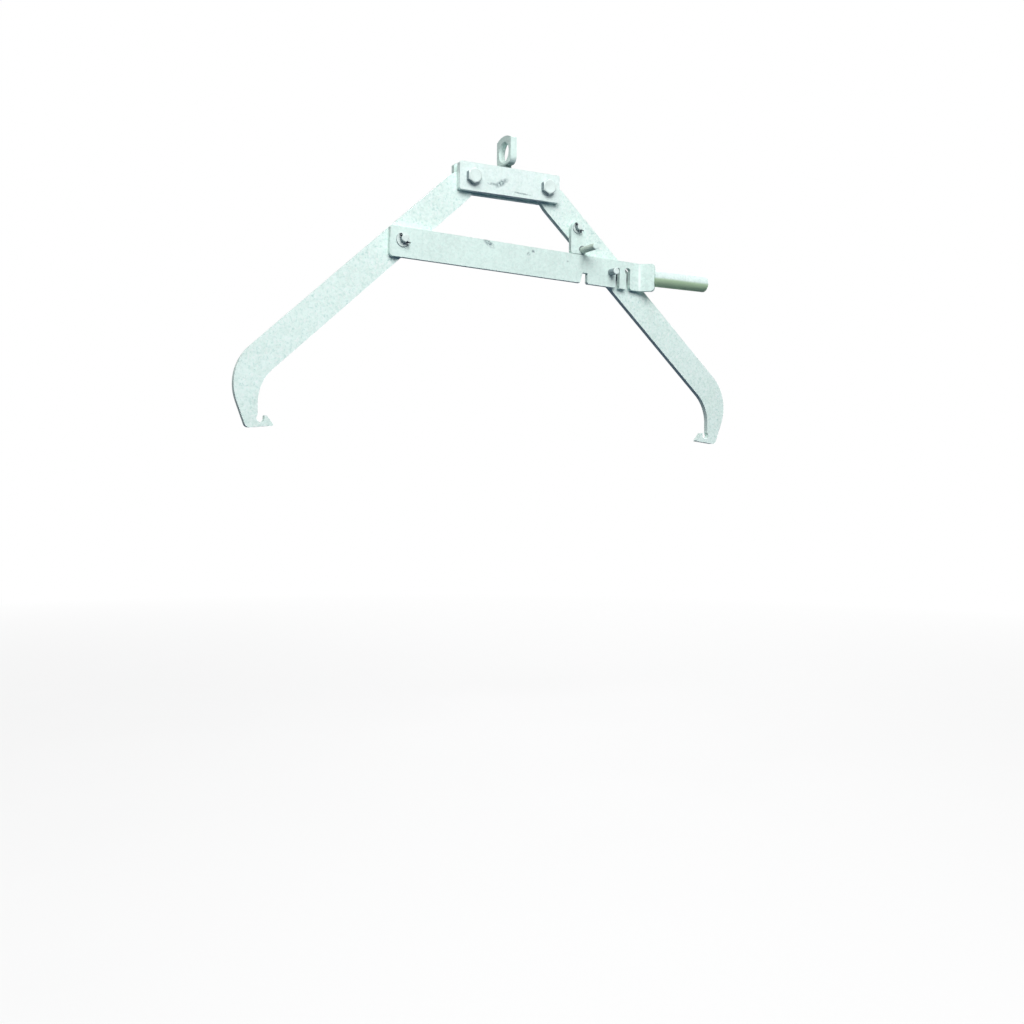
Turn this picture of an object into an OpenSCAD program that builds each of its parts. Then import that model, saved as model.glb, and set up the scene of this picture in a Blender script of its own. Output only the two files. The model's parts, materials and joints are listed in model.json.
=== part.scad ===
// Hanging lifter with two hooked arms, a lock bar across them and a swinging latch.
// X runs across the lifter, Y from the front to the back, Z up. The origin is the centre of the eye's hole.

/* [Yoke] */
// length of each yoke plate
yoke_length = 196; // [184:1:230]
// height of each yoke plate
yoke_height = 48; // [46:1:60]
// thickness of each yoke plate
yoke_thickness = 10; // [8:1:14]
// corner radius of the yoke plates
yoke_corner = 4; // [2:0.5:8]
// distance between the two arm pivots
pivot_spacing = 146; // [136:1:152]
// drop from the eye's hole to the arm pivots
pivot_drop = 54; // [52:1:60]
// thickness of each arm
arm_thickness = 10; // [8:1:12]
// side play of an arm between the yoke plates, on each side
arm_side_play = 1; // [0.5:0.1:2]

/* [Eye] */
// width of the eye
eye_width = 50; // [46:1:54]
// height of the eye's top over the middle of its hole
eye_rise = 27.5; // [26:0.5:30]
// depth of the eye's foot below the middle of its hole
eye_fall = 23; // [22:0.5:24]
// thickness of the eye and of its tang
eye_thickness = 12; // [10:0.5:14]
// diameter of the eye's hole
eye_hole = 30; // [24:1:32]
// radius of the eye's domed top
eye_top_radius = 52; // [46:1:60]
// radius of the eye's lower corners
eye_low_radius = 12; // [8:1:16]
// radius of the rounded lip at the eye's hole
eye_lip = 3; // [2:0.5:3.5]
// leg of the weld beads on the tang
eye_weld_leg = 4; // [3:0.5:5]

/* [Yoke fasteners] */
// diameter of the yoke bolts
bolt_diameter = 16; // [12:1:18]
// width across flats of the bolt heads and nuts
bolt_flats = 24; // [22:1:27]
// height of the bolt heads
bolt_head = 10; // [8:1:12]
// height of the nuts
nut_height = 13; // [10:1:15]
// diameter of the yoke washers
washer_diameter = 30; // [28:1:34]
// thickness of the yoke washers
washer_thickness = 3; // [2:0.5:4]
// outside diameter of the pivot bushes
bush_diameter = 24; // [22:1:28]
// gap round a bolt in its holes
bolt_gap = 0.3; // [0.2:0.1:0.6]
// gap round a turning fit
running_gap = 0.05; // [0.03:0.01:0.08]

/* [Arms] */
// width of the arms
arm_width = 50; // [44:1:56]
// radius of the arms' upper ends
arm_end_radius = 23.5; // [21:0.5:23.5]
// slope of the arms below the horizontal
arm_angle = 42.25; // [41:0.25:43]
// half the distance between the upright inner edges of the claws
claw_half_span = 439.6; // [430:0.2:446]
// width of the claws behind their upright inner edges
claw_width = 38.4; // [34:0.2:42]
// radius of the inside of the arms' bends
inner_bend = 72; // [60:1:80]
// radius of the outside of the arms' bends
outer_bend = 80; // [74:1:86]
// lean of the claws' backs
heel_lean = 20; // [17:0.5:23]
// radius of the claws' heels
heel_radius = 8; // [6:0.5:10]
// height of the claws below the inside of the bends
claw_leg = 38.9; // [36:0.1:46]
// rise of the claws' undersides towards the tips
claw_rise = 6; // [3:0.5:8]
// height of the claws' teeth over their lowest point
tooth_height = 19.6; // [18:0.2:21]
// length of a claw from the upright inner edge to the tip
tooth_reach = 25; // [22:0.5:28]
// width of the throat at the tooth
throat_width = 13; // [11:0.5:14]
// undercut of the throat into the arm
throat_undercut = 2; // [1:0.5:3]
// width of the flat on the tooth
tooth_flat = 3.5; // [3:0.5:5]

/* [Lock bar] */
// height of the bar
bar_height = 50; // [46:1:54]
// thickness of the bar
bar_thickness = 8; // [6:0.5:9]
// distance of the bar's pivot from the middle of the lifter
bar_pivot_x = 200; // [195:1:205]
// drop from the eye's hole to the bar's pivot
bar_pivot_drop = 174; // [170:1:178]
// slope of the bar
bar_tilt = 1.7; // [1.5:0.1:1.9]
// height of the pivot over the middle of the bar
bar_pivot_rise = 4; // [2:0.5:6]
// length of the bar beyond its pivot
bar_tail = 22.5; // [20:0.5:30]
// distance from the pivot to the bend of the bar
bar_reach = 473; // [470:1:480]
// length of the bent tab
tab_length = 27; // [24:1:30]
// angle of the bent tab
tab_angle = 45; // [40:1:50]
// inside radius of the bend
bend_radius = 12; // [8:1:14]
// size of the tab's corners
tab_corner = 5.5; // [4:0.5:8]
// size of the corner at the bar's pivot end
bar_end_corner = 5; // [3:0.5:7]
// width of the slots
slot_width = 8.6; // [8.4:0.1:9.4]
// travel of the lock pin along its jog
jog_travel = 16; // [15.8:0.1:17]
// rise of the jog
jog_rise = 21.8; // [21.4:0.1:22.2]
// distance from the pivot to the middle of the first notch
first_notch_at = 353.5; // [350:0.5:356]
// width of the first notch at its mouth
first_notch_mouth = 17; // [15:0.5:19]
// depth of the first notch
first_notch_depth = 18.5; // [16:0.5:22]
// distance from the pivot to the third slot
third_slot_at = 447.6; // [446:0.2:449]
// diameter of the round end of the third slot
third_slot_eye = 12; // [11:0.5:13]
// height of the third slot's round end over the bar's lower edge
third_slot_height = 33; // [30:0.5:35]

/* [Handle] */
// outside diameter of the handle tube
handle_diameter = 30; // [26:1:32]
// wall of the handle tube
handle_wall = 3; // [2:0.5:4]
// distance from the pivot to the end of the handle
handle_end = 614; // [600:1:624]
// gap between the handle and the plane of the arms
handle_clear = 0.6; // [0.4:0.1:2]
// angle of the handle over the bar
handle_lift = 1.7; // [0:0.1:2.5]
// thickness of the handle's closed end
handle_cap = 4; // [3:0.5:6]
// leg of the weld round the handle
handle_weld_leg = 3; // [2:0.5:4]

/* [Bar pivot] */
// diameter of the bar's pivot pin
bar_pin = 12; // [11:0.5:14]
// diameter of the pin's head
bar_pin_head = 20; // [18:1:24]
// diameter of the washers on the pin
bar_washer = 24; // [22:1:26]
// thickness of the front washers
front_washer = 2; // [1.5:0.5:3]
// length of the pins in front of their washers
pin_tail = 9; // [8:0.5:11]
// diameter of the split pins
split_pin = 3; // [2.5:0.5:3.5]
// gap round a split pin in its hole
split_gap = 0.15; // [0.1:0.05:0.3]

/* [Lock pin] */
// distance of the lock pin from the middle of the lifter
lock_pin_x = 208.5; // [207.5:0.1:209.5]
// drop from the eye's hole to the lock pin
lock_pin_drop = 189; // [188.5:0.1:189.5]
// diameter of the lock pin
lock_pin_diameter = 12; // [11:0.5:14]
// diameter of the lock pin's neck
lock_pin_neck = 7.8; // [7:0.1:8]
// length of the lock pin's head in front of the bar
lock_pin_head = 20; // [16:1:24]
// leg of the weld behind the lock pin
lock_weld_leg = 4; // [3:0.5:5]

/* [Latch] */
// distance of the latch's pivot from the middle of the lifter
latch_x = 136.5; // [135:0.5:138]
// drop from the eye's hole to the latch's pivot
latch_drop = 117; // [116:0.5:118]
// diameter of the latch's pivot pin
latch_pin = 10; // [9:0.5:11]
// diameter of the latch pin's washers
latch_washer = 18; // [17:0.5:20]
// radius of the latch's upper end
latch_top_radius = 11; // [10:0.5:12]
// reach of the latch's left edge from its pivot
latch_left = 12; // [11:0.5:12.5]
// depth of the latch below its pivot
latch_depth = 44.8; // [43:0.2:45]
// radius of the latch's lower left corner
latch_corner = 4; // [3:0.5:6]
// diameter of the finger rod
rod_diameter = 11.6; // [10:0.2:12]
// length of the finger rod
rod_length = 45; // [40:1:52]
// distance of the rod to the right of the latch's pivot
rod_right = 12; // [11:0.5:13]
// drop from the latch's pivot to the rod
rod_drop = 38.2; // [37:0.2:38.4]
// leg of the weld round the rod
rod_weld_leg = 2; // [1.5:0.5:3]

/* [Hidden] */
$fn = 64;

// depths of the layers, front to back
arm_front = -arm_thickness / 2;
arm_back = arm_thickness / 2;
plate_inner = arm_back + arm_side_play;
plate_outer = plate_inner + yoke_thickness;
spacer = 1;
bar_back = arm_front - spacer;
bar_front = bar_back - bar_thickness;

// pivots of the arms
pivot_x = pivot_spacing / 2;
pivot_z = -pivot_drop;
end_slope_c = cos(arm_angle);
end_slope_s = sin(arm_angle);

// a point of the right arm, from its pivot along the arm and outwards across it
function arm_point(s, o) = [
    pivot_x + s * end_slope_c + o * end_slope_s,
    pivot_z - s * end_slope_s + o * end_slope_c];

// inner edge of the arm's bend
half = arm_width / 2;
inner_s = (claw_half_span - pivot_x + half * end_slope_s) / end_slope_c;
inner_corner = arm_point(inner_s, -half);
inner_t = inner_bend * tan((90 - arm_angle) / 2);
inner_start = arm_point(inner_s - inner_t, -half);
inner_stop = [claw_half_span, inner_corner[1] - inner_t];
inner_centre = [claw_half_span - inner_bend, inner_stop[1]];

// outer edge of the arm's bend
arm_half_width = claw_half_span + claw_width;
outer_s = (arm_half_width - outer_bend - pivot_x - (half - outer_bend) * end_slope_s) / end_slope_c;
outer_centre = arm_point(outer_s, half - outer_bend);
outer_start = arm_point(outer_s, half);
outer_stop = outer_centre + outer_bend * [cos(heel_lean), -sin(heel_lean)];
chord_lean = (90 - arm_angle - heel_lean) / 2;
chord_out = [cos(chord_lean), sin(chord_lean)];

// heel of the claw
claw_drop = claw_leg - inner_stop[1];
heel_z = -claw_drop + heel_radius;
heel_run = (outer_stop[1] - heel_z + heel_radius * sin(heel_lean)) / cos(heel_lean);
heel_centre = [outer_stop[0] - heel_run * sin(heel_lean) - heel_radius * cos(heel_lean), heel_z];
heel_start = heel_centre + heel_radius * [cos(heel_lean), -sin(heel_lean)];
heel_stop = heel_centre + heel_radius * [-sin(claw_rise), -cos(claw_rise)];

// tooth and throat of the claw
tip_x = claw_half_span - tooth_reach;
tip_z = heel_stop[1] + (heel_stop[0] - tip_x) * tan(claw_rise);
tooth_z = -claw_drop + tooth_height;
throat_radius = throat_width / 2;
throat_x = claw_half_span + throat_undercut - throat_radius;
tooth_left = throat_x - throat_radius;
throat_z = tooth_z - 4.4;

// places of the bar, measured along it from its pivot
bar_top = bar_height / 2 - bar_pivot_rise;
bar_low = -bar_height / 2 - bar_pivot_rise;
bar_u = [cos(bar_tilt), -sin(bar_tilt)];
bar_v = [sin(bar_tilt), cos(bar_tilt)];
pin_from_pivot = [lock_pin_x + bar_pivot_x, bar_pivot_drop - lock_pin_drop];
pin_u = pin_from_pivot * bar_u;
pin_v = pin_from_pivot * bar_v;
slot_radius = slot_width / 2;
jog_end_u = pin_u + jog_travel;
jog_end_v = pin_v + jog_travel * tan(jog_rise);
jog_side = [-sin(jog_rise), cos(jog_rise)];
jog_half = slot_radius - 0.1;

// depths of the pins
handle_forward = arm_thickness / 2 + handle_clear + handle_diameter / 2;
bend_run = bend_radius * tan(tab_angle / 2);
bar_start = [-bar_tail, bar_low];
tab_low = [tab_length, bar_low];
tab_top = [tab_length, bar_top];
bar_pin_end = bar_front - front_washer - pin_tail;
split_depth = bar_front - front_washer - pin_tail / 2;

// a plate drawn in X and Z, between two depths
module plate(front, back) {
    translate([0, back, 0]) rotate([90, 0, 0]) linear_extrude(height = back - front) children();
}

// a round bar along the depth
module rod(x, z, front, back, diameter) {
    translate([x, back, z]) rotate([90, 0, 0]) cylinder(h = back - front, d = diameter);
}

// a ring along the depth
module ring(x, z, front, back, outside, inside) {
    difference() {
        rod(x, z, front, back, outside);
        rod(x, z, front - 1, back + 1, inside);
    }
}

// a rectangle with round corners, given by its middle
module round_rect(w, h, r) {
    square([w - 2 * r, h], center = true);
    square([w, h - 2 * r], center = true);
    for (x = [-1, 1], y = [-1, 1]) translate([x * (w / 2 - r), y * (h / 2 - r)]) circle(r);
}

// a fillet bead round a round bar, its flat side towards the back
module round_bead(x, z, back, inside, leg) {
    translate([x, back, z]) rotate([90, 0, 0]) rotate_extrude()
        polygon([[inside / 2, 0], [inside / 2 + leg, 0], [inside / 2, leg]]);
}

// Yoke
module yoke_plate_shape() {
    difference() {
        translate([0, pivot_z]) round_rect(yoke_length, yoke_height, yoke_corner);
        for (x = [-pivot_x, pivot_x]) translate([x, pivot_z]) circle(d = bolt_diameter + 2 * bolt_gap);
    }
}

module yoke_front_plate() {
    color("#d9e6e0") plate(-plate_outer, -plate_inner) yoke_plate_shape();
}

module yoke_rear_plate() {
    color("#d9e6e0") plate(plate_inner, plate_outer) yoke_plate_shape();
}

// Eye, turned across the yoke, with a tang between the plates
module eye_outline() {
    w = eye_width / 2;
    tall = eye_fall + eye_rise + 3;
    translate([-w + eye_low_radius, -eye_fall]) square([eye_width - 2 * eye_low_radius, tall]);
    translate([-w, -eye_fall + eye_low_radius]) square([eye_width, tall - eye_low_radius]);
    for (x = [-1, 1]) translate([x * (w - eye_low_radius), -eye_fall + eye_low_radius])
        circle(eye_low_radius);
}

module lifting_eye() {
    gap = 2 * plate_inner;
    depth = pivot_drop + yoke_height / 2 - 6;
    color("#cfdcd6") difference() {
        union() {
            intersection() {
                translate([-eye_thickness / 2, 0, 0]) rotate([90, 0, 90])
                    linear_extrude(height = eye_thickness) eye_outline();
                translate([-eye_thickness, 0, eye_rise - eye_top_radius]) rotate([0, 90, 0])
                    cylinder(h = 2 * eye_thickness, r = eye_top_radius);
            }
            translate([-eye_thickness / 2, -gap / 2, -depth])
                cube([eye_thickness, gap, depth - eye_hole / 2 - 3]);
        }
        translate([-eye_thickness, 0, 0]) rotate([0, 90, 0]) cylinder(h = 2 * eye_thickness, d = eye_hole);
        for (m = [0, 1]) mirror([m, 0, 0]) translate([eye_thickness / 2 - eye_lip, 0, 0]) rotate([0, 90, 0])
            cylinder(h = eye_lip + 0.01, r1 = eye_hole / 2 - 0.01, r2 = eye_hole / 2 + eye_lip);
    }
}

// Beads between the tang and the tops of the plates, on both sides of the tang
module eye_welds() {
    top = pivot_z + yoke_height / 2;
    length = 2 * plate_inner + eye_weld_leg * 2;
    color("#b9c6c2") for (m = [0, 1]) mirror([m, 0, 0]) translate([eye_thickness / 2, length / 2, top])
        rotate([90, 0, 0]) linear_extrude(height = length)
            polygon([[0, 0], [eye_weld_leg, 0], [0, eye_weld_leg]]);
}

// Bolts of the yoke
module yoke_bolt(x) {
    head = -plate_outer;
    tail = plate_outer + washer_thickness + nut_height + 4;
    color("#c2cfcb") {
        difference() {
            translate([x, head, pivot_z]) rotate([90, 30, 0])
                cylinder(h = bolt_head, d = bolt_flats / cos(30), $fn = 6);
            translate([x, head, pivot_z]) rotate([90, 0, 0]) difference() {
                translate([0, 0, bolt_head - 2]) cylinder(h = 3, d = 2 * bolt_flats);
                translate([0, 0, bolt_head - 2])
                    cylinder(h = 2.01, d1 = bolt_flats + 4.4, d2 = bolt_flats - 2.6);
            }
        }
        rod(x, pivot_z, head, tail - 1, bolt_diameter);
        translate([x, tail, pivot_z]) rotate([90, 0, 0])
            cylinder(h = 1.01, d1 = bolt_diameter - 2, d2 = bolt_diameter);
    }
}

module left_yoke_bolt() {
    yoke_bolt(-pivot_x);
}

module right_yoke_bolt() {
    yoke_bolt(pivot_x);
}

module yoke_washers() {
    hole = bolt_diameter + 2 * bolt_gap;
    color("#c9d5d1") for (x = [-pivot_x, pivot_x])
        ring(x, pivot_z, plate_outer, plate_outer + washer_thickness, washer_diameter, hole);
}

module yoke_nuts() {
    front = plate_outer + washer_thickness;
    color("#c2cfcb") for (x = [-pivot_x, pivot_x]) difference() {
        translate([x, front + nut_height, pivot_z]) rotate([90, 30, 0])
            cylinder(h = nut_height, d = bolt_flats / cos(30), $fn = 6);
        rod(x, pivot_z, front - 1, front + nut_height + 1, bolt_diameter + 2 * bolt_gap);
    }
}

// Bushes clamped between the plates, which the arms turn on
module left_pivot_bush() {
    color("#a9b4b1")
        ring(-pivot_x, pivot_z, -plate_inner, plate_inner, bush_diameter, bolt_diameter + 2 * bolt_gap);
}

module right_pivot_bush() {
    color("#a9b4b1")
        ring(pivot_x, pivot_z, -plate_inner, plate_inner, bush_diameter, bolt_diameter + 2 * bolt_gap);
}

// Right arm without the holes for what it carries
module arm_body() {
    difference() {
        union() {
            plate(arm_front, arm_back)
                polygon([arm_point(0, arm_end_radius - 3), arm_point(26, half), outer_start, outer_stop,
                    heel_start, heel_centre, heel_stop, [tip_x, tip_z], [tip_x, tip_z + 2],
                    [tooth_left - tooth_flat, tooth_z], [tooth_left, tooth_z], [tooth_left, throat_z],
                    [claw_half_span, throat_z], inner_corner, arm_point(26, -half),
                    arm_point(0, 3 - arm_end_radius)]);
            rod(pivot_x, pivot_z, arm_front, arm_back, 2 * arm_end_radius);
            rod(heel_centre[0], heel_centre[1], arm_front, arm_back, 2 * heel_radius);
            intersection() {
                rod(outer_centre[0], outer_centre[1], arm_front, arm_back, 2 * outer_bend);
                plate(arm_front, arm_back)
                    polygon([outer_start - 4 * chord_out, outer_start + 60 * chord_out,
                        outer_stop + 60 * chord_out, outer_stop - 4 * chord_out]);
            }
            difference() {
                plate(arm_front, arm_back) polygon([inner_corner + [1, 1], inner_start, inner_stop]);
                rod(inner_centre[0], inner_centre[1], arm_front - 1, arm_back + 1, 2 * inner_bend);
            }
        }
        rod(throat_x, throat_z, arm_front - 1, arm_back + 1, throat_width);
        rod(pivot_x, pivot_z, arm_front - 1, arm_back + 1, bush_diameter + 2 * running_gap);
    }
}

module left_arm() {
    color("#dbe8e2") difference() {
        mirror([1, 0, 0]) arm_body();
        rod(-bar_pivot_x, -bar_pivot_drop, arm_front - 1, arm_back + 1, bar_pin + 2 * running_gap);
    }
}

module right_arm() {
    color("#dbe8e2") difference() {
        arm_body();
        rod(lock_pin_x, -lock_pin_drop, arm_front - 1, arm_back + 1, lock_pin_diameter + 2 * running_gap);
        rod(latch_x, -latch_drop, arm_front - 1, arm_back + 1, latch_pin + 2 * running_gap);
    }
}

// Headed pin through an arm, with a cross hole for its split pin
module headed_pin(x, z, diameter, head, end, lean) {
    difference() {
        union() {
            rod(x, z, end + 1, arm_back, diameter);
            rod(x, z, arm_back, arm_back + 5, head);
            translate([x, end + 1, z]) rotate([90, 0, 0]) cylinder(h = 1, d1 = diameter, d2 = diameter - 2);
        }
        translate([x, split_depth, z]) rotate([0, lean, 0])
            translate([0, 0, -diameter]) cylinder(h = 2 * diameter, d = split_pin + 2 * split_gap);
    }
}

// Split pin with a round eye at one end and two spread legs at the other
module split_wire(x, z, diameter, lean) {
    reach = diameter / 2 + 0.6;
    leg = diameter / 2;
    eye = split_pin * 0.7;
    color("#8d9894") translate([x, split_depth, z]) rotate([0, lean, 0]) {
        translate([0, 0, -reach]) cylinder(h = 2 * reach, d = split_pin);
        translate([0, 0, reach + eye]) rotate([90, 0, 0]) rotate_extrude()
            translate([eye, 0]) circle(d = split_pin * 0.8);
        for (s = [-1, 1]) translate([0, 0, -reach]) rotate([0, s * 25, 0]) translate([0, 0, -leg])
            cylinder(h = leg + 0.5, d = split_pin * 0.6);
    }
}

module bar_pivot_pin() {
    color("#b4c0bc") headed_pin(-bar_pivot_x, -bar_pivot_drop, bar_pin, bar_pin_head, bar_pin_end, -45);
}

module bar_washers() {
    hole = bar_pin + 2 * bolt_gap;
    color("#c9d5d1") {
        ring(-bar_pivot_x, -bar_pivot_drop, bar_back, arm_front, bar_washer, hole);
        ring(-bar_pivot_x, -bar_pivot_drop, bar_front - front_washer, bar_front, bar_washer, hole);
    }
}

module bar_split_pin() {
    split_wire(-bar_pivot_x, -bar_pivot_drop, bar_pin, -45);
}

// Places things on the bar, whose pivot is the origin here
module on_bar() {
    translate([-bar_pivot_x, 0, -bar_pivot_drop]) rotate([0, bar_tilt, 0]) children();
}

// Notches in the bar's lower edge
module bar_cuts() {
    front = bar_front - 1;
    back = bar_back + 1;
    notch_left = first_notch_at - first_notch_mouth / 2;
    notch_right = first_notch_at + first_notch_mouth / 2;
    notch_v = bar_low + first_notch_depth;
    third_left = third_slot_at - slot_radius;
    third_right = third_slot_at + slot_radius - 0.4;
    plate(front, back) polygon([[notch_left - 0.25, bar_low - 1], [notch_left + 4.5, notch_v],
        [notch_right - 2, notch_v], [notch_right - 2, bar_low + 3], [notch_right + 0.7, bar_low - 1]]);
    plate(front, back)
        polygon([[pin_u, pin_v] - jog_half * jog_side, [jog_end_u, jog_end_v] - jog_half * jog_side,
            [jog_end_u, jog_end_v] + jog_half * jog_side, [pin_u, pin_v] + jog_half * jog_side]);
    rod(pin_u, pin_v, front, back, slot_width);
    rod(jog_end_u, jog_end_v, front, back, slot_width);
    plate(front, back) translate([jog_end_u - jog_half, bar_low - 1])
        square([2 * jog_half, jog_end_v - bar_low + 1]);
    plate(front, back) translate([third_left, bar_low - 1])
        square([third_right - third_left, third_slot_height + 1]);
    rod(third_slot_at - 1.6, bar_low + third_slot_height, front, back, third_slot_eye);
    difference() {
        plate(front, back) translate([third_right - 1, bar_low - 1]) square([7, 7]);
        rod(third_right + 6, bar_low + 6, front - 1, back + 1, 12);
    }
}

module lock_bar() {
    along_tab = [cos(tab_angle), -sin(tab_angle)];
    color("#dbe8e2") on_bar() difference() {
        union() {
            plate(bar_front, bar_back)
                polygon([[-bar_tail, bar_low + bar_end_corner], bar_start + 0.3 * bar_end_corner * [1, 1],
                    bar_start + [bar_end_corner, 0], [bar_reach, bar_low], [bar_reach, bar_top],
                    [2 - bar_tail, bar_top], [-bar_tail, bar_top - 2]]);
            intersection() {
                translate([bar_reach, bar_front, bar_low])
                    cylinder(h = bar_height, r = bar_thickness + 0.1);
                translate([bar_reach, bar_front, bar_low]) linear_extrude(height = bar_height)
                    polygon([[0, 0], 3 * bar_thickness * [-sin(20), cos(20)],
                        3 * bar_thickness * [sin(20), cos(20)],
                        3 * bar_thickness * [sin(tab_angle + 20), cos(tab_angle + 20)]]);
            }
            difference() {
                translate([bar_reach, bar_front, bar_low]) linear_extrude(height = bar_height)
                    polygon([[0.6, 2], [-bend_run, 2], [-bend_run, 0], bend_run * along_tab,
                        2 * [sin(tab_angle), cos(tab_angle)] + bend_run * along_tab]);
                translate([bar_reach - bend_run, bar_front - bend_radius, bar_low - 1])
                    cylinder(h = bar_height + 2, r = bend_radius);
            }
            translate([bar_reach, bar_front, 0]) rotate([0, 0, -tab_angle]) plate(0, bar_thickness)
                polygon([[0, bar_low], [tab_length - tab_corner, bar_low],
                    tab_low + 0.3 * tab_corner * [-1, 1],
                    [tab_length, bar_low + tab_corner], [tab_length, bar_top - tab_corner],
                    tab_top - 0.3 * tab_corner * [1, 1], [tab_length - tab_corner, bar_top], [0, bar_top]]);
        }
        rod(0, 0, bar_front - 1, bar_back + 1, bar_pin + 2 * running_gap);
        bar_cuts();
    }
}

// Everything behind the tab, so that what meets it is cut to its face
module behind_tab(from, to) {
    translate([bar_reach, bar_front, -60]) rotate([0, 0, -tab_angle])
        translate([-100, bar_thickness + from, 0]) cube([300, to - from, 120]);
}

// Everything past the tab's edge, where the handle's end is notched to take it
module past_tab() {
    intersection() {
        translate([bar_reach, bar_front, -60]) rotate([0, 0, -tab_angle])
            translate([tab_length + 0.12, -80, 0]) cube([240, 300, 120]);
        translate([bar_reach + tab_length * cos(tab_angle) + 1, -100, -60]) cube([300, 200, 120]);
    }
}

module along_handle(outside, past) {
    translate([bar_reach, -handle_forward, -bar_pivot_rise]) rotate([0, 90 - handle_lift, 0])
        translate([0, 0, -40]) cylinder(h = handle_end - bar_reach + 40 + past, d = outside);
}

module handle_tube() {
    color("#d3dfd8") on_bar() difference() {
        intersection() {
            along_handle(handle_diameter, 0);
            union() {
                behind_tab(0.12, 250);
                past_tab();
            }
        }
        intersection() {
            along_handle(handle_diameter - 2 * handle_wall, 10);
            behind_tab(handle_cap, 260);
        }
    }
}

// Bead round the handle where it meets the tab
module handle_weld() {
    inside = handle_diameter + 0.04;
    color("#b9c6c2") on_bar() difference() {
        intersection() {
            along_handle(handle_diameter + 2 * handle_weld_leg, 0);
            behind_tab(0, handle_weld_leg);
            translate([bar_reach, bar_front, -60]) rotate([0, 0, -tab_angle]) translate([2, 0, 0])
                cube([tab_length - 2, 100, 120]);
        }
        along_handle(inside, 10);
    }
}

// Stud that the bar's slot drops over
module lock_pin() {
    neck_front = bar_front - 0.6;
    end = bar_front - lock_pin_head;
    color("#b4c0bc") {
        rod(lock_pin_x, -lock_pin_drop, arm_front, arm_back + 2, lock_pin_diameter);
        rod(lock_pin_x, -lock_pin_drop, neck_front - 0.5, arm_front + 0.5, lock_pin_neck);
        rod(lock_pin_x, -lock_pin_drop, end + 1, neck_front, lock_pin_diameter);
        translate([lock_pin_x, end + 1, -lock_pin_drop]) rotate([90, 0, 0])
            cylinder(h = 1, d1 = lock_pin_diameter, d2 = lock_pin_diameter - 2);
    }
}

module lock_pin_weld() {
    color("#b9c6c2") difference() {
        translate([lock_pin_x, arm_back, -lock_pin_drop]) rotate([-90, 0, 0])
            cylinder(h = lock_weld_leg, d1 = lock_pin_diameter + 2 * lock_weld_leg,
                d2 = lock_pin_diameter - 3);
        rod(lock_pin_x, -lock_pin_drop, arm_back - 1, arm_back + 2, lock_pin_diameter + 0.04);
    }
}

// Latch
module latch_pivot_pin() {
    color("#b4c0bc") headed_pin(latch_x, -latch_drop, latch_pin, latch_pin + 7, bar_pin_end, -45);
}

module latch_washers() {
    hole = latch_pin + 2 * bolt_gap;
    color("#c9d5d1") {
        ring(latch_x, -latch_drop, bar_back, arm_front, latch_washer, hole);
        ring(latch_x, -latch_drop, bar_front - front_washer, bar_front, latch_washer, hole);
    }
}

module latch_split_pin() {
    split_wire(latch_x, -latch_drop, latch_pin, -45);
}

module latch_plate() {
    low = -latch_depth;
    color("#dbe8e2") translate([latch_x, 0, -latch_drop]) difference() {
        union() {
            rod(0, 0, bar_front, bar_back, 2 * latch_top_radius);
            rod(latch_corner - latch_left, low + latch_corner, bar_front, bar_back, 2 * latch_corner);
            plate(bar_front, bar_back)
                polygon([[-latch_left, low + latch_corner], [-latch_left, -2], [2 - latch_top_radius, 2],
                    (latch_top_radius - 2) * [cos(22), sin(22)], [rod_right + 8, low + 14],
                    [rod_right + 5, low - 0.5],
                    [latch_corner - latch_left, low], [latch_corner - latch_left, low + latch_corner]]);
        }
        rod(0, 0, bar_front - 1, bar_back + 1, latch_pin + 2 * running_gap);
    }
}

module latch_rod() {
    z = -latch_drop - rod_drop;
    color("#d3dfd8") {
        rod(latch_x + rod_right, z, bar_front - rod_length + 1, bar_front, rod_diameter);
        translate([latch_x + rod_right, bar_front - rod_length + 1, z]) rotate([90, 0, 0])
            cylinder(h = 1, d1 = rod_diameter, d2 = rod_diameter - 2);
    }
}

module latch_rod_weld() {
    color("#b9c6c2") intersection() {
        round_bead(latch_x + rod_right, -latch_drop - rod_drop, bar_front, rod_diameter + 0.04,
            rod_weld_leg);
        translate([latch_x, bar_front - 20, -latch_drop - rod_drop]) cube([60, 40, 60]);
    }
}

yoke_front_plate();
yoke_rear_plate();
lifting_eye();
eye_welds();
left_yoke_bolt();
right_yoke_bolt();
yoke_washers();
yoke_nuts();
left_pivot_bush();
right_pivot_bush();
left_arm();
bar_pivot_pin();
bar_washers();
bar_split_pin();
lock_bar();
handle_tube();
handle_weld();
right_arm();
lock_pin();
lock_pin_weld();
latch_pivot_pin();
latch_washers();
latch_split_pin();
latch_plate();
latch_rod();
latch_rod_weld();
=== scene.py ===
import json
import math
import bmesh
import bpy
from mathutils import Matrix, Vector


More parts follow.
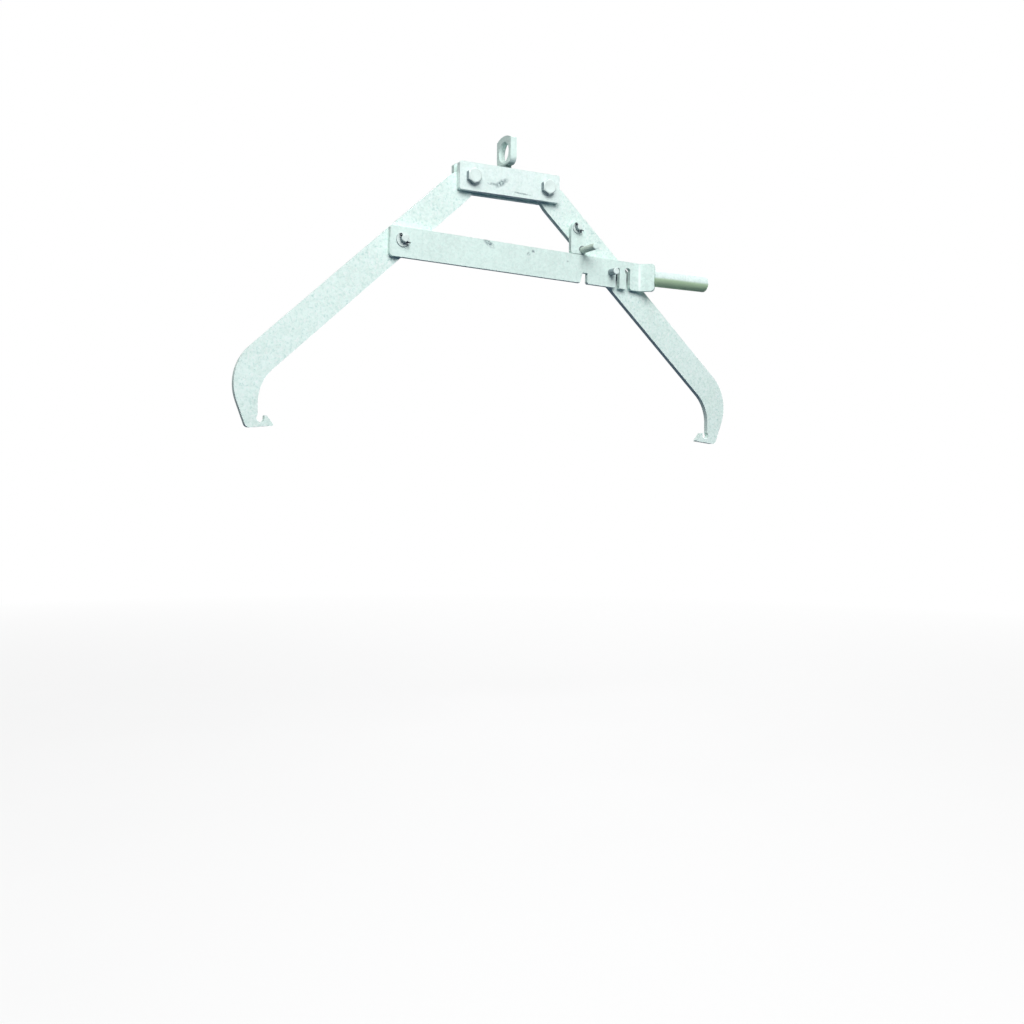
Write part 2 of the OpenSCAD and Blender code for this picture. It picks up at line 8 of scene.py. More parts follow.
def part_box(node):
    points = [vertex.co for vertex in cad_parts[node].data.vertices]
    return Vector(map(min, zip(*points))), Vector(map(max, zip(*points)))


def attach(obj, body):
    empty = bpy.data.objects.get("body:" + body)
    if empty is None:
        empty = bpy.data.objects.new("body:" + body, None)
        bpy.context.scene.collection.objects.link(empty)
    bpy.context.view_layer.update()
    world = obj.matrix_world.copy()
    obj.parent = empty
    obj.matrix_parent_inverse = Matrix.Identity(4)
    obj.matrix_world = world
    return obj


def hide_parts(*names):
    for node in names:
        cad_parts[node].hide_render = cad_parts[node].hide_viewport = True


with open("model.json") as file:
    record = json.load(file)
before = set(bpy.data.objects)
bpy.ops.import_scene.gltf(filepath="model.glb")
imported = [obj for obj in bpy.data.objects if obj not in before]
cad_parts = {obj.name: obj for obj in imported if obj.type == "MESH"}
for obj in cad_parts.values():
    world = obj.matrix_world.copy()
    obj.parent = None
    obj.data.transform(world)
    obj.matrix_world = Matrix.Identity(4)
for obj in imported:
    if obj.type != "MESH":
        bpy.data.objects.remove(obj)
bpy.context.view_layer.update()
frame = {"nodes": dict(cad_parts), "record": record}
nodes = frame["nodes"]
scene = bpy.context.scene
scene.view_settings.view_transform = "Standard"


# Camera
def make_camera():
    right = (0.87675, -0.48083, 0.01064)
    up = (-0.00116, 0.02001, 0.99979)
    back = (-0.48095, -0.87658, 0.01698)
    place = (-0.9920, -1.8408, -0.5874)
    data = bpy.data.cameras.new("camera")
    data.sensor_fit = "HORIZONTAL"
    data.sensor_width = 36.0
    data.lens = 42.172
    data.clip_end = 100.0
    camera = bpy.data.objects.new("camera", data)
    turn = Matrix((right, up, back)).transposed()
    camera.matrix_world = Matrix.Translation(place) @ turn.to_4x4()
    scene.collection.objects.link(camera)
    scene.camera = camera


make_camera()


# Places and sizes of the solids
def low_corner(node):
    return Vector(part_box(node)[0])


def high_corner(node):
    return Vector(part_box(node)[1])


def middle(node):
    return (low_corner(node) + high_corner(node)) / 2


def half_width(node):
    return (high_corner(node).x - low_corner(node).x) / 2


def shade(colour, amount):
    return tuple(min(1.0, part * amount) for part in colour)


# Node helpers
class Nodes:
    def __init__(self, name):
        self.material = bpy.data.materials.new(name)
        self.material.use_nodes = True
        self.tree = self.material.node_tree
        self.tree.nodes.clear()
        self.out = self.add("ShaderNodeOutputMaterial")
        self.coordinates = self.add("ShaderNodeTexCoord")

    def add(self, kind, **values):
        node = self.tree.nodes.new(kind)
        for key, value in values.items():
            setattr(node, key, value)
        return node

    def link(self, source, target):
        self.tree.links.new(source, target)

    # A socket is linked, a number or a colour is set
    def feed(self, value, target):
        if isinstance(value, bpy.types.NodeSocket):
            self.link(value, target)
        elif isinstance(value, tuple):
            target.default_value = value + (1.0,)
        else:
            target.default_value = value

    def place(self):
        return self.coordinates.outputs["Object"]

    def facing(self):
        node = self.add("ShaderNodeSeparateXYZ")
        self.link(self.coordinates.outputs["Normal"], node.inputs["Vector"])
        return node.outputs["Y"]

    def height(self):
        node = self.add("ShaderNodeSeparateXYZ")
        self.link(self.place(), node.inputs["Vector"])
        return node.outputs["Z"]

    # One on the cut edges of a plate, nought on its faces
    def rim(self):
        return self.span(self.math("ABSOLUTE", self.facing(), 0.0), 0.3, 0.7, 1.0, 0.0)

    # One on a plate's front face, nought elsewhere
    def front(self):
        return self.span(self.facing(), -0.7, -0.3, 1.0, 0.0)

    def scaled(self, scale, turn=(0.0, 0.0, 0.0)):
        node = self.add("ShaderNodeMapping")
        node.inputs["Scale"].default_value = scale
        node.inputs["Rotation"].default_value = turn
        self.link(self.place(), node.inputs["Vector"])
        return node.outputs["Vector"]

    def noise(self, scale, detail=3.0, rough=0.5, vector=None, distortion=0.0):
        node = self.add("ShaderNodeTexNoise")
        node.inputs["Scale"].default_value = scale
        node.inputs["Detail"].default_value = detail
        node.inputs["Roughness"].default_value = rough
        node.inputs["Distortion"].default_value = distortion
        self.link(vector or self.place(), node.inputs["Vector"])
        return node.outputs["Fac"]

    # Crystals, each with three chance values
    def crystals(self, scale, vector=None):
        cells = self.add("ShaderNodeTexVoronoi", feature="F1")
        cells.inputs["Scale"].default_value = scale
        self.link(vector or self.place(), cells.inputs["Vector"])
        node = self.add("ShaderNodeSeparateColor")
        self.link(cells.outputs["Color"], node.inputs["Color"])
        return node.outputs

    def span(self, source, low, high, to_low, to_high):
        node = self.add("ShaderNodeMapRange")
        node.inputs["From Min"].default_value = low
        node.inputs["From Max"].default_value = high
        node.inputs["To Min"].default_value = to_low
        node.inputs["To Max"].default_value = to_high
        self.link(source, node.inputs["Value"])
        return node.outputs["Result"]

    # Colours are the seventh and eighth inputs and the third output
    def mix(self, amount, one, two):
        node = self.add("ShaderNodeMix", data_type="RGBA", blend_type="MIX")
        self.feed(amount, node.inputs[0])
        self.feed(one, node.inputs[6])
        self.feed(two, node.inputs[7])
        return node.outputs[2]

    def math(self, operation, one, two):
        node = self.add("ShaderNodeMath", operation=operation)
        self.feed(one, node.inputs[0])
        self.feed(two, node.inputs[1])
        return node.outputs["Value"]

    def bump(self, height, strength, distance):
        node = self.add("ShaderNodeBump")
        node.inputs["Strength"].default_value = strength
        node.inputs["Distance"].default_value = distance
        self.link(height, node.inputs["Height"])
        return node.outputs["Normal"]

    # A patch on a front face, with half widths in metres and a turn in the plate's plane
    def patch(self, x, z, wide, tall, turn, amount, ragged=True):
        node = self.add("ShaderNodeMapping", vector_type="TEXTURE")
        node.inputs["Location"].default_value = (x, 0.0, z)
        node.inputs["Rotation"].default_value = (0.0, turn, 0.0)
        node.inputs["Scale"].default_value = (wide, 1.0, tall)
        self.link(self.place(), node.inputs["Vector"])
        flat = self.add("ShaderNodeVectorMath", operation="MULTIPLY")
        flat.inputs[1].default_value = (1.0, 0.0, 1.0)
        self.link(node.outputs["Vector"], flat.inputs[0])
        far = self.add("ShaderNodeVectorMath", operation="LENGTH")
        self.link(flat.outputs["Vector"], far.inputs[0])
        near = self.span(far.outputs["Value"], 0.35, 1.0, 1.0, 0.0)
        near = self.math("MULTIPLY", self.front(), near)
        if ragged:
            torn = self.span(self.noise(240.0, 4.0, 0.65), 0.36, 0.54, 0.0, 1.0)
            near = self.math("MULTIPLY", near, torn)
        return self.math("MULTIPLY", near, amount)

    def shader(self, colour, rough, normal, metallic, index):
        node = self.add("ShaderNodeBsdfPrincipled")
        node.inputs["IOR"].default_value = index
        node.inputs["Metallic"].default_value = metallic
        self.link(colour, node.inputs["Base Color"])
        self.link(rough, node.inputs["Roughness"])
        self.link(normal, node.inputs["Normal"])
        self.link(node.outputs["BSDF"], self.out.inputs["Surface"])
        return node.outputs["BSDF"]


# Colours
plate_tint = (0.765, 0.93, 0.87)
# The arms are tinted brighter than the plates as painted light, making up for the dimmer light on their
# lower ends
arm_lit_tint = (0.81, 0.975, 0.91)
yoke_tint = (0.83, 0.97, 0.92)
round_tint = (0.75, 0.90, 0.84)
rod_tint = (0.60, 0.70, 0.61)
handle_tint = (0.78, 0.92, 0.88)
fastener_tint = (0.80, 0.92, 0.88)
# Weld tint darkened past the welds' own tone: partly their colour, partly painted shade at the eye's
# foot
weld_tint = (0.26, 0.31, 0.31)
bush_tint = (0.33, 0.35, 0.35)
split_pin_tint = (0.035, 0.042, 0.060)
scuff_grey = (0.22, 0.30, 0.31)
# Near-black for the painted shadow behind the lock bar
slot_shadow_black = (0.02, 0.03, 0.045)
# Blue-grey for the painted shade round the fasteners' sides
side_shade_grey = (0.12, 0.17, 0.21)
# Olive for the painted reflection of the dark floor on the handle's lower half
reflection_olive = (0.38, 0.57, 0.29)
# Dark grey for the painted shade at the eye's foot on the yoke
foot_shade_grey = (0.07, 0.12, 0.13)

# How strongly each surface mirrors
zinc_index = 1.10
plating_index = 1.12
weld_index = 1.15
floor_index = 1.5

# Marks on the front faces: x, z, half width, half height, turn and strength
yoke_scuffs = (
    (-0.018, -0.058, 0.018, 0.0065, -0.55, 1.0),
    (-0.036, -0.062, 0.012, 0.003, 0.0, 0.8),
    (0.022, -0.071, 0.022, 0.0018, 0.05, 0.9),
)
bar_scuffs = (
    (-0.040, -0.163, 0.015, 0.006, 0.55, 1.0),
    (0.038, -0.173, 0.005, 0.004, -0.3, 0.9),
    (0.047, -0.168, 0.004, 0.004, 0.0, 0.9),
    (0.118, -0.178, 0.004, 0.002, 0.0, 0.5),
)
# Painted highlight: a pale streak down the lock bar's bend, where the bend catches the light
bend_highlight = (0.2715, -0.192, 0.0032, 0.034, 0.0, 1.0)
# Painted shadow on the right arm's front face behind the lock bar's slots
arm_slot_shadow = (0.236, -0.194, 0.030, 0.023, 0.1, 1.0)

# Painted shade below a height: the handle tube's lower half in olive as a painted reflection of the dark
# floor, and the eye's foot in dark grey as painted shade where it stands on the yoke
handle_painted_reflection = (-0.1945, reflection_olive)
eye_foot_shade = (-0.0215, foot_shade_grey)

# Metal share of each surface
plate_metal = 0.03
rod_metal = 0.05
fastener_metal = 0.08
round_metal = 0.1
split_pin_metal = 0.1
handle_metal = 0.12
weld_metal_share = 0.15
bush_metal = 0.8

# Crystals to the metre, on plates and on round pieces
plate_spangle = 260.0
round_spangle = 320.0


# Hot-dip galvanised steel with a dull spangle, pale blooms, runs and grey scuffs, and where asked a
# painted highlight patch, a painted shadow patch, painted shade below a height and a painted bright end
# face
def galvanised(name, tint, metallic, spangle=plate_spangle, coarse=0.4, scuffs=(), painted_highlight=None,
               painted_shadow=None, painted_below=None, painted_bright_end=False, cut_edges=True):
    n = Nodes(name)
    grain = n.crystals(spangle)
    shard = n.crystals(spangle * 0.4, n.scaled((1.0, 1.0, 1.0), (0.3, 0.5, 0.2)))
    fine = n.noise(520.0, 4.0, 0.65)
    grit = n.noise(210.0, 3.0, 0.7, distortion=0.6)
    blotch = n.noise(60.0, 5.0, 0.6, distortion=0.4)
    broad = n.noise(9.0, 4.0, 0.55)
    runs = n.noise(1.0, 5.0, 0.6, n.scaled((150.0, 150.0, 9.0)))
    # Pale tone for the zinc blooms, also used for the painted highlight on the bend
    bloom_and_highlight = tuple(0.35 * part + 0.65 for part in tint)
    slate = (tint[0] * 0.66, tint[1] * 0.76, tint[2] * 0.77)
    layers = (
        (grain["Red"], 0.0, 1.0, 0.0, 0.8, shade(tint, 0.86)),
        (shard["Green"], 0.3, 1.0, 0.0, 0.4, shade(tint, 1.07)),
        (broad, 0.42, 0.68, 0.0, 0.45, shade(tint, 1.05)),
        (runs, 0.52, 0.75, 0.0, 0.45, shade(tint, 0.86)),
        (blotch, 0.58, 0.74, 0.0, 0.35, shade(tint, 0.82)),
        (grit, 0.34, 0.46, 0.75 * coarse, 0.0, bloom_and_highlight),
        (grit, 0.54, 0.68, 0.0, 0.85 * coarse, slate),
        (fine, 0.60, 0.76, 0.0, 0.55, slate),
    )
    colour = tint
    for source, low, high, at_low, at_high, tone in layers:
        colour = n.mix(n.span(source, low, high, at_low, at_high), colour, tone)
    relief = ((fine, 0.5), (grain["Blue"], 0.3), (blotch, 0.9), (grit, 1.1 * coarse))
    height = None
    for source, share in relief:
        part = n.math("MULTIPLY", source, share)
        height = n.math("ADD", height, part) if height else part
    if cut_edges:
        rim = n.rim()
        drag = n.noise(1.0, 3.0, 0.55, n.scaled((620.0, 18.0, 620.0)))
        lines = n.math("MULTIPLY", rim, n.span(drag, 0.42, 0.66, 0.0, 0.55))
        colour = n.mix(lines, colour, shade(tint, 0.70))
        grooves = n.math("MULTIPLY", rim, n.math("MULTIPLY", drag, 1.8))
        height = n.math("ADD", height, grooves)
    for scuff in scuffs:
        colour = n.mix(n.patch(*scuff), colour, scuff_grey)
    # Painted highlight: a pale streak in the bloom tone down the lock bar's bend
    if painted_highlight:
        colour = n.mix(n.patch(*painted_highlight, ragged=False), colour, bloom_and_highlight)
    # Painted shadow: a near-black patch standing in for the shade in the gap behind the lock bar
    if painted_shadow:
        colour = n.mix(n.patch(*painted_shadow, ragged=False), colour, slot_shadow_black)
    # Painted highlight: the rod's front end face takes the pale plate tint
    if painted_bright_end:
        colour = n.mix(n.front(), colour, plate_tint)
    # Painted shade below a wavy height line
    if painted_below:
        line, tone = painted_below
        wavy = n.math("ADD", n.height(), n.span(broad, 0.3, 0.7, -0.0008, 0.0008))
        colour = n.mix(n.span(wavy, line - 0.0015, line + 0.0025, 0.74, 0.0), colour, tone)
    rough = n.span(n.math("ADD", grain["Green"], broad), 0.2, 1.6, 0.36, 0.56)
    n.shader(colour, rough, n.bump(height, 0.25, 0.0005), metallic, zinc_index)
    return n.material


# Zinc plated fasteners, bright on their ends, with painted shade in blue-grey round their sides where
# asked
def plated(name, tint, metallic, painted_side_shade=0.0):
    n = Nodes(name)
    fine = n.noise(260.0, 4.0, 0.6)
    broad = n.noise(45.0, 3.0, 0.5)
    colour = n.mix(n.span(broad, 0.35, 0.7, 0.0, 1.0), tint, shade(tint, 0.78))
    colour = n.mix(n.span(fine, 0.6, 0.8, 0.0, 0.5), colour, shade(tint, 0.6))
    # Painted shade: the round sides darkened blue-grey
    if painted_side_shade:
        colour = n.mix(n.math("MULTIPLY", n.rim(), painted_side_shade), colour, side_shade_grey)
    rough = n.span(broad, 0.3, 0.7, 0.28, 0.5)
    n.shader(colour, rough, n.bump(fine, 0.2, 0.0003), metallic, plating_index)
    return n.material


# Galvanised weld metal with ripples
def weld(name, tint, metallic):
    n = Nodes(name)
    ripple = n.noise(330.0, 2.0, 0.5)
    broad = n.noise(90.0, 3.0, 0.5)
    colour = n.mix(n.span(broad, 0.3, 0.7, 0.0, 1.0), tint, shade(tint, 0.62))
    rough = n.span(ripple, 0.3, 0.7, 0.4, 0.65)
    n.shader(colour, rough, n.bump(ripple, 0.6, 0.001), metallic, weld_index)
    return n.material


materials = {
    "galvanised_plate": galvanised("galvanised_plate", plate_tint, plate_metal),
    "galvanised_round": galvanised("galvanised_round", round_tint, round_metal, round_spangle,
                                   cut_edges=False),
    "zinc_fastener": plated("zinc_fastener", fastener_tint, fastener_metal, painted_side_shade=0.7),
    "weld_metal": weld("weld_metal", weld_tint, weld_metal_share),
    "bush_steel": plated("bush_steel", bush_tint, bush_metal),
    "split_pin_steel": plated("split_pin_steel", split_pin_tint, split_pin_metal),
}
special = {
    "yoke_front_plate": galvanised("galvanised_yoke_front", yoke_tint, plate_metal,
                                   scuffs=yoke_scuffs),
    "lock_bar": galvanised("galvanised_lock_bar", plate_tint, plate_metal,
                           scuffs=bar_scuffs, painted_highlight=bend_highlight),
    "left_arm": galvanised("galvanised_left_arm", arm_lit_tint, plate_metal, coarse=1.0),
    "right_arm": galvanised("galvanised_right_arm", arm_lit_tint, plate_metal, coarse=1.0,
                            painted_shadow=arm_slot_shadow),
    "latch_rod": galvanised("galvanised_rod", rod_tint, rod_metal, round_spangle,
                            painted_bright_end=True, cut_edges=False),
    "handle_tube": galvanised("galvanised_handle", handle_tint, handle_metal, round_spangle,
                              painted_below=handle_painted_reflection, cut_edges=False),
    "lifting_eye": galvanised("galvanised_eye", plate_tint, plate_metal, painted_below=eye_foot_shade),
}
slot_of = {part["node"]: part["material_slot"] for part in frame["record"]["subparts"]}
for name, node in nodes.items():
    node.data.materials.clear()
    node.data.materials.append(special.get(name) or materials[slot_of[name]])

# Edges of the cut plates, broken by the zinc
edge_width = {"galvanised_plate": 0.0009, "galvanised_round": 0.0006, "zinc_fastener": 0.0004}
for name, node in nodes.items():
    if slot_of[name] in edge_width:
        edge = node.modifiers.new("edge", "BEVEL")
        edge.width = edge_width[slot_of[name]]
        edge.segments = 2
        edge.limit_method = "ANGLE"
        edge.angle_limit = math.radians(40.0)


# Meshes made of rings of points
def ring_mesh(rings, looped=False):
    count = len(rings[0])
    verts = [tuple(point) for ring in rings for point in ring]
    faces = []
    last = len(rings) if looped else len(rings) - 1
    for row in range(last):
        low = row * count
        high = ((row + 1) % len(rings)) * count
        for k in range(count):
            n = (k + 1) % count
            faces.append((low + k, low + n, high + n, high + k))
    if not looped:
        faces.append(tuple(range(count)))
        faces.append(tuple(range((len(rings) - 1) * count, len(rings) * count)))
    return verts, faces


def joined(parts):
    verts = []
    faces = []
    for part_verts, part_faces in parts:
        start = len(verts)
        verts.extend(part_verts)
        faces.extend(tuple(start + index for index in face) for face in part_faces)
    return verts, faces


def make_piece(name, shape, body, slot, stands_for, sharp):
    mesh = bpy.data.meshes.new(name)
    mesh.from_pydata(shape[0], [], shape[1])
    work = bmesh.new()
    work.from_mesh(mesh)
    bmesh.ops.recalc_face_normals(work, faces=work.faces)
    work.to_mesh(mesh)
    work.free()
    for face in mesh.polygons:
        face.use_smooth = True
    mesh.set_sharp_from_angle(angle=math.radians(sharp))
    mesh.materials.append(materials[slot])
    piece = bpy.data.objects.new(name, mesh)
    scene.collection.objects.link(piece)
    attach(piece, body)
    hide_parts(stands_for)


# Angles past which an edge stays sharp
bolt_sharp = 20.0
wire_sharp = 32.0
bead_sharp = 60.0

# Hexagon bolts and nuts with turned chamfers, and the thread at the bolts' ends
flats = 0.024
full_hexagon = 1.0
bolt_radius = 0.008
chamfer_deep = 0.0022
end_chamfer = 0.0012
thread_length = 0.006
thread_pitch = 0.002
thread_depth = 0.0011
thread_rows = 30
bolt_front = low_corner("left_yoke_bolt").y
bolt_end = high_corner("left_yoke_bolt").y
thread_start = bolt_end - thread_length
head_back = low_corner("yoke_front_plate").y
nut_front = low_corner("yoke_nuts").y
nut_back = high_corner("yoke_nuts").y


def hexagon(angle):
    turn = (angle + math.pi / 6) % (math.pi / 3) - math.pi / 6
    return flats / 2 / math.cos(turn)


def turned(centre, y, radius, count=72):
    points = []
    for k in range(count):
        angle = 2 * math.pi * k / count
        r = radius(angle) if callable(radius) else radius
        points.append((centre.x + r * math.cos(angle), y, centre.z + r * math.sin(angle)))
    return points


def chamfered(limit):
    return lambda angle: min(hexagon(angle), limit)


def thread(y):
    def radius(angle):
        turn = ((y - thread_start) / thread_pitch - angle / (2 * math.pi)) % 1.0
        crest = bolt_radius - thread_depth * (1 - abs(2 * turn - 1))
        return min(crest, bolt_radius - max(0.0, y - bolt_end + end_chamfer))
    return radius


def yoke_bolt(node):
    centre = middle(node)
    rings = [turned(centre, bolt_front + 0.0002, 0.0070), turned(centre, bolt_front, 0.0088)]
    for k in range(8):
        y = bolt_front + chamfer_deep * k / 7
        rings.append(turned(centre, y, chamfered(0.0108 + 0.0033 * k / 7)))
    rings.append(turned(centre, head_back - 0.0004, chamfered(full_hexagon)))
    rings.append(turned(centre, head_back, chamfered(0.0134)))
    rings.append(turned(centre, head_back, bolt_radius))
    rings.append(turned(centre, thread_start, bolt_radius))
    for k in range(thread_rows + 1):
        y = thread_start + thread_length * k / thread_rows
        rings.append(turned(centre, y, thread(y)))
    return ring_mesh(rings)


def yoke_nut(bolt):
    centre = middle(bolt)
    rings = [turned(centre, nut_front, 0.0090), turned(centre, nut_front, 0.0108)]
    for k in range(7):
        y = nut_front + chamfer_deep * k / 6
        rings.append(turned(centre, y, chamfered(0.0111 + 0.003 * k / 6)))
    for k in range(7):
        y = nut_back - chamfer_deep + chamfer_deep * k / 6
        rings.append(turned(centre, y, chamfered(0.0141 - 0.003 * k / 6)))
    rings.append(turned(centre, nut_back, 0.0108))
    rings.append(turned(centre, nut_back, 0.0090))
    rings.append(turned(centre, nut_back - 0.0008, 0.0083))
    rings.append(turned(centre, nut_front + 0.0008, 0.0083))
    return ring_mesh(rings, looped=True)


left_bolt = yoke_bolt("left_yoke_bolt")
right_bolt = yoke_bolt("right_yoke_bolt")
nuts = joined([yoke_nut("left_yoke_bolt"), yoke_nut("right_yoke_bolt")])
make_piece("left_bolt", left_bolt, "yoke", "zinc_fastener", "left_yoke_bolt", bolt_sharp)
make_piece("right_bolt", right_bolt, "yoke", "zinc_fastener", "right_yoke_bolt", bolt_sharp)
make_piece("nuts", nuts, "yoke", "zinc_fastener", "yoke_nuts", bolt_sharp)

# Split pins of folded half-round wire, along a direction that leans to the upper left
bar_pin_diameter = 0.012
latch_pin_diameter = 0.010
wire_radius = 0.0014
leg_gap = 0.00002
eye_wide = 0.0012
eye_tall = 0.0011
eye_open = 0.12 * math.pi
lean = math.sqrt(0.5)


def wire_path(diameter):
    reach = diameter / 2 + 0.0008
    leg = diameter / 2
    path = []
    for k in range(7):
        t = 1 - k / 6
        path.append((-reach - leg * 0.92 * t, leg_gap + leg * 0.55 * t ** 1.4))
    path.append((0.0, leg_gap))
    for k in range(25):
        angle = eye_open + (2 * math.pi - 2 * eye_open) * k / 24
        path.append((reach + 0.0022 - eye_wide * math.cos(angle), eye_tall * math.sin(angle)))
    path.append((0.0, -leg_gap))
    for k in range(7):
        t = k / 6
        path.append((-reach - leg * 0.78 * t, -leg_gap - leg * 0.62 * t ** 1.4))
    return path


def split_pin(pin, node, diameter):
    centre = middle(pin)
    depth = middle(node).y
    path = wire_path(diameter)
    rings = []
    for k, (along, side) in enumerate(path):
        before = path[max(0, k - 1)]
        after = path[min(len(path) - 1, k + 1)]
        run = Vector((after[0] - before[0], after[1] - before[1])).normalized()
        out = Vector((-run.y, run.x))
        ring = []
        for j in range(9):
            angle = -math.pi / 2 + math.pi * j / 8
            offset = wire_radius * math.cos(angle)
            a = along + out.x * offset
            b = side + out.y * offset
            y = depth + wire_radius * math.sin(angle)
            ring.append((centre.x + lean * (b - a), y, centre.z + lean * (a + b)))
        rings.append(ring)
    return ring_mesh(rings)


bar_wire = split_pin("bar_pivot_pin", "bar_split_pin", bar_pin_diameter)
latch_wire = split_pin("latch_pivot_pin", "latch_split_pin", latch_pin_diameter)
make_piece("bar_split_wire", bar_wire, "left_arm", "split_pin_steel", "bar_split_pin", wire_sharp)
make_piece("latch_split_wire", latch_wire, "right_arm", "split_pin_steel", "latch_split_pin", wire_sharp)

# Fillet welds with crescent ripples, along a corner line with the two directions that leave it
ripple_pitch = 0.0017
ripple_step = 0.00035
eye_leg = 0.0038
eye_inset = 0.0002
rod_leg = 0.0023
stud_leg = 0.0028
handle_leg = 0.0030


def bead(corner, leg, fade=True):
    length = sum((corner(k + 1, 200)[0] - corner(k, 200)[0]).length for k in range(200))
    rows = max(12, int(length / ripple_step))
    rings = []
    for row in range(rows + 1):
        point, one, two, run = corner(row, rows)
        along = length * row / rows
        wave = abs(math.sin(math.pi * along / ripple_pitch))
        wander = 0.05 * math.sin(along * 610.0) + 0.04 * math.sin(along * 1370.0 + 1.0)
        size = leg * (0.86 + 0.14 * wave + wander)
        if fade:
            size *= math.sqrt(max(0.06, min(1.0, along / leg, (length - along) / leg)))
        drawn = ripple_pitch * 0.45 if 2 < row < rows - 2 else 0.0
        ring = [point - (one + two) * leg * 0.05]
        for j in range(9):
            angle = math.pi / 2 * j / 8
            flat = 1 / (math.cos(angle) + math.sin(angle))
            reach = size * (0.55 * flat + 0.45)
            lag = run * drawn * math.sin(2 * angle)
            ring.append(point + (one * math.cos(angle) + two * math.sin(angle)) * reach + lag)
        rings.append(ring)
    return ring_mesh(rings)


# Straight bead on one side of the eye, on top of the yoke
def eye_bead(side):
    x = side * half_width("lifting_eye")
    z = high_corner("yoke_front_plate").z
    start = low_corner("eye_welds").y + eye_inset
    end = high_corner("eye_welds").y - eye_inset

    def corner(k, rows):
        y = start + (end - start) * k / rows
        return Vector((x, y, z)), Vector((side, 0, 0)), Vector((0, 0, 1)), Vector((0, 1, 0))
    return bead(corner, eye_leg)


# Bead round a pin that stands on a plate, from one angle to another
def round_bead(pin, y, outward, first, last, leg, fade):
    centre = middle(pin)
    radius = half_width(pin)

    def corner(k, rows):
        angle = math.radians(first + (last - first) * k / rows)
        out = Vector((math.cos(angle), 0, math.sin(angle)))
        run = Vector((-math.sin(angle), 0, math.cos(angle)))
        return Vector((centre.x, y, centre.z)) + out * radius, out, Vector((0, outward, 0)), run
    return bead(corner, leg, fade)


# Bead on the back of the tab, round the mitred end of the handle
tab_tilt = math.radians(1.7)
tab_reach = 0.473
tab_drop = 0.004
tab_thickness = 0.008


def handle_bead(first, last):
    centre = middle("handle_tube")
    pivot = middle("bar_pivot_pin")
    bar_front = low_corner("latch_plate").y
    radius = (high_corner("handle_tube").y - low_corner("handle_tube").y) / 2
    start = pivot.x + tab_reach * math.cos(tab_tilt) - tab_drop * math.sin(tab_tilt)

    def corner(k, rows):
        angle = math.radians(first + (last - first) * k / rows)
        y = centre.y + radius * math.cos(angle)
        x = start + tab_thickness * math.sqrt(2) - (y - bar_front)
        z = centre.z + radius * math.sin(angle)
        out = Vector((0, math.cos(angle), math.sin(angle)))
        over = (out - Vector((math.cos(angle), 0, 0))).normalized()
        run = Vector((math.sin(angle), -math.sin(angle), math.cos(angle))).normalized()
        return Vector((x, y, z)), over, Vector((1, 0, 0)), run
    return bead(corner, handle_leg)


latch_front = high_corner("latch_rod").y
arm_back = high_corner("right_arm").y
eye_beads = joined([eye_bead(-1), eye_bead(1)])
rod_bead = round_bead("latch_rod", latch_front, -1, -12, 192, rod_leg, True)
stud_bead = round_bead("lock_pin", arm_back, 1, 0, 360, stud_leg, False)
handle_beads = joined([handle_bead(46, 114), handle_bead(-114, -46)])
make_piece("eye_beads", eye_beads, "yoke", "weld_metal", "eye_welds", bead_sharp)
make_piece("rod_bead", rod_bead, "latch", "weld_metal", "latch_rod_weld", bead_sharp)
make_piece("stud_bead", stud_bead, "right_arm", "weld_metal", "lock_pin_weld", bead_sharp)
make_piece("handle_beads", handle_beads, "lock_bar", "weld_metal", "handle_weld", bead_sharp)

# Floor, far below the hanging lifter, fading to white away from it
floor_level = -1.06
floor_half = 40.0
floor_pale = ((0.70, 0.70, 0.70), (0.73, 0.73, 0.73))
floor_bounce = ((0.028, 0.056, 0.100), (0.032, 0.062, 0.110))
fade_near = 1.1
fade_far = 3.6
fade_least = 0.62


def make_floor():
    half = floor_half
    corners = [(-half, -half), (half, -half), (half, half), (-half, half)]
    mesh = bpy.data.meshes.new("floor")
    mesh.from_pydata([(x, y, floor_level) for x, y in corners], [], [(0, 1, 2, 3)])
    floor = bpy.data.objects.new("floor", mesh)
    scene.collection.objects.link(floor)
    n = Nodes("floor")
    speck = n.noise(3.0, 2.0, 0.5)
    share = n.span(speck, 0.3, 0.7, 0.0, 1.0)
    rough = n.span(speck, 0.3, 0.7, 0.6, 0.7)
    lit = n.shader(n.mix(share, *floor_pale), rough, n.bump(speck, 0.01, 0.001), 0.0, floor_index)
    bounce = n.add("ShaderNodeBsdfDiffuse")
    n.link(n.mix(share, *floor_bounce), bounce.inputs["Color"])
    white = n.add("ShaderNodeEmission")
    white.inputs["Strength"].default_value = 1.0
    far = n.add("ShaderNodeVectorMath", operation="LENGTH")
    n.link(n.place(), far.inputs[0])
    pale = n.add("ShaderNodeMixShader")
    n.link(n.span(far.outputs["Value"], fade_near, fade_far, fade_least, 1.0), pale.inputs["Fac"])
    n.link(lit, pale.inputs[1])
    n.link(white.outputs["Emission"], pale.inputs[2])
    path = n.add("ShaderNodeLightPath")
    seen = n.math("MAXIMUM", path.outputs["Is Camera Ray"], path.outputs["Is Glossy Ray"])
    seen = n.math("MAXIMUM", seen, path.outputs["Is Transmission Ray"])
    whole = n.add("ShaderNodeMixShader")
    n.link(seen, whole.inputs["Fac"])
    n.link(bounce.outputs["BSDF"], whole.inputs[1])
    n.link(pale.outputs["Shader"], whole.inputs[2])
    n.link(whole.outputs["Shader"], n.out.inputs["Surface"])
    mesh.materials.append(n.material)


make_floor()

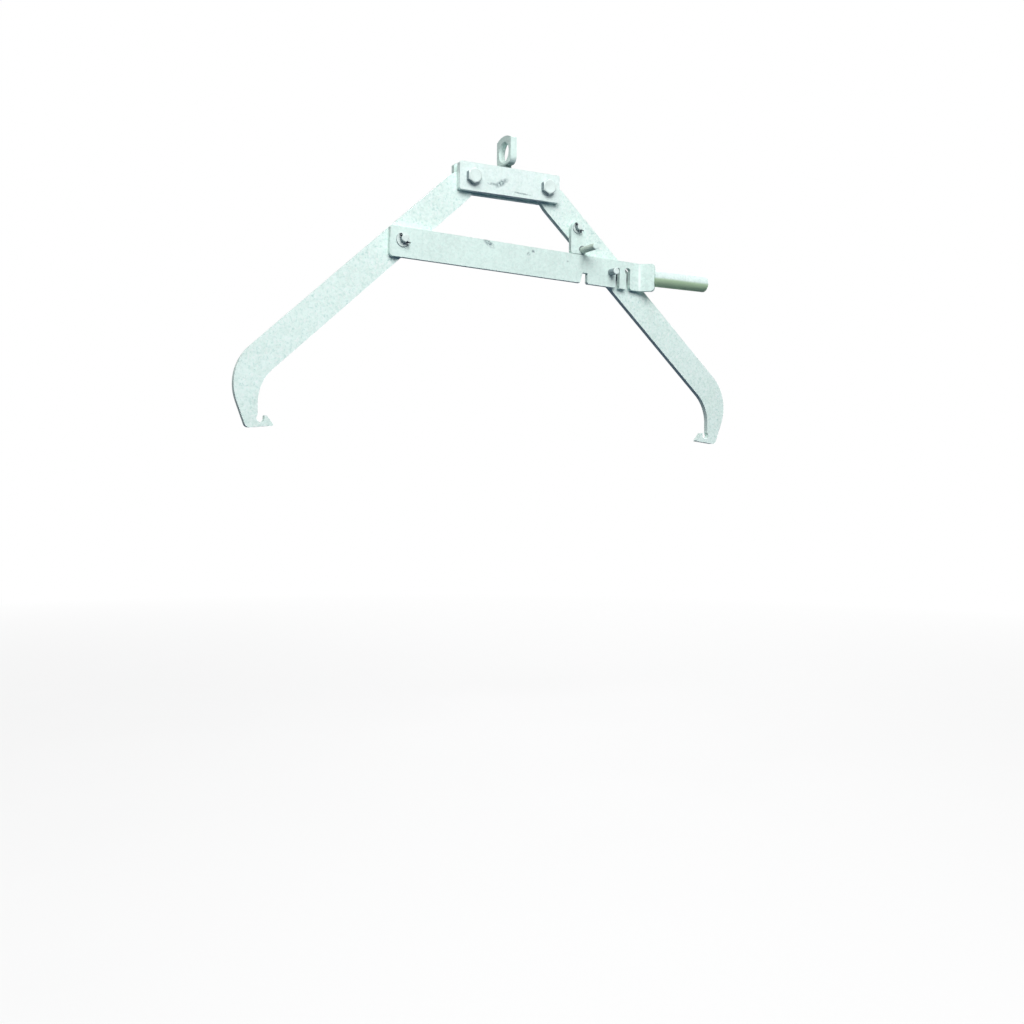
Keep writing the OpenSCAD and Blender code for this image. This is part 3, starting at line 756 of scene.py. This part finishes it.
# Soft lights: name, place, target, size and watts
lights = (
    ("key", (-0.9, -3.0, 2.0), (0.0, 0.0, -0.2), (3.4, 2.6), 182.0),
    ("fill", (2.2, -2.4, 0.8), (0.0, 0.0, -0.25), (1.6, 1.6), 8.0),
    ("top", (0.3, 0.9, 2.4), (0.0, 0.0, -0.2), (2.0, 1.6), 10.0),
    ("side", (-2.2, 0.3, 1.9), (0.0, 0.0, -0.2), (1.2, 1.2), 16.0),
    ("back", (2.0, 2.8, 1.5), (0.0, 0.0, -0.2), (3.0, 2.4), 90.0),
)
for name, place, target, size, watts in lights:
    data = bpy.data.lights.new(name, "AREA")
    data.shape = "RECTANGLE"
    data.size, data.size_y = size
    data.energy = watts
    light = bpy.data.objects.new(name, data)
    light.location = place
    aim = Vector(target) - Vector(place)
    light.rotation_euler = aim.to_track_quat("-Z", "Y").to_euler()
    scene.collection.objects.link(light)


# World, white where it is seen or mirrored and dim as a light
def make_world():
    world = bpy.data.worlds.new("studio")
    scene.world = world
    world.use_nodes = True
    tree = world.node_tree
    tree.nodes.clear()
    out = tree.nodes.new("ShaderNodeOutputWorld")
    mix = tree.nodes.new("ShaderNodeMixShader")
    path = tree.nodes.new("ShaderNodeLightPath")
    mirrored = tree.nodes.new("ShaderNodeMath")
    mirrored.operation = "MAXIMUM"
    seen = tree.nodes.new("ShaderNodeMath")
    seen.operation = "MAXIMUM"
    shown = tree.nodes.new("ShaderNodeBackground")
    shown.inputs["Color"].default_value = (1.0, 1.0, 1.0, 1.0)
    shown.inputs["Strength"].default_value = 1.0
    ambient = tree.nodes.new("ShaderNodeBackground")
    ambient.inputs["Color"].default_value = (0.92, 0.96, 1.0, 1.0)
    ambient.inputs["Strength"].default_value = 0.08
    tree.links.new(path.outputs["Is Glossy Ray"], mirrored.inputs[0])
    tree.links.new(path.outputs["Is Transmission Ray"], mirrored.inputs[1])
    tree.links.new(path.outputs["Is Camera Ray"], seen.inputs[0])
    tree.links.new(mirrored.outputs["Value"], seen.inputs[1])
    tree.links.new(seen.outputs["Value"], mix.inputs["Fac"])
    tree.links.new(ambient.outputs["Background"], mix.inputs[1])
    tree.links.new(shown.outputs["Background"], mix.inputs[2])
    tree.links.new(mix.outputs["Shader"], out.inputs["Surface"])


make_world()
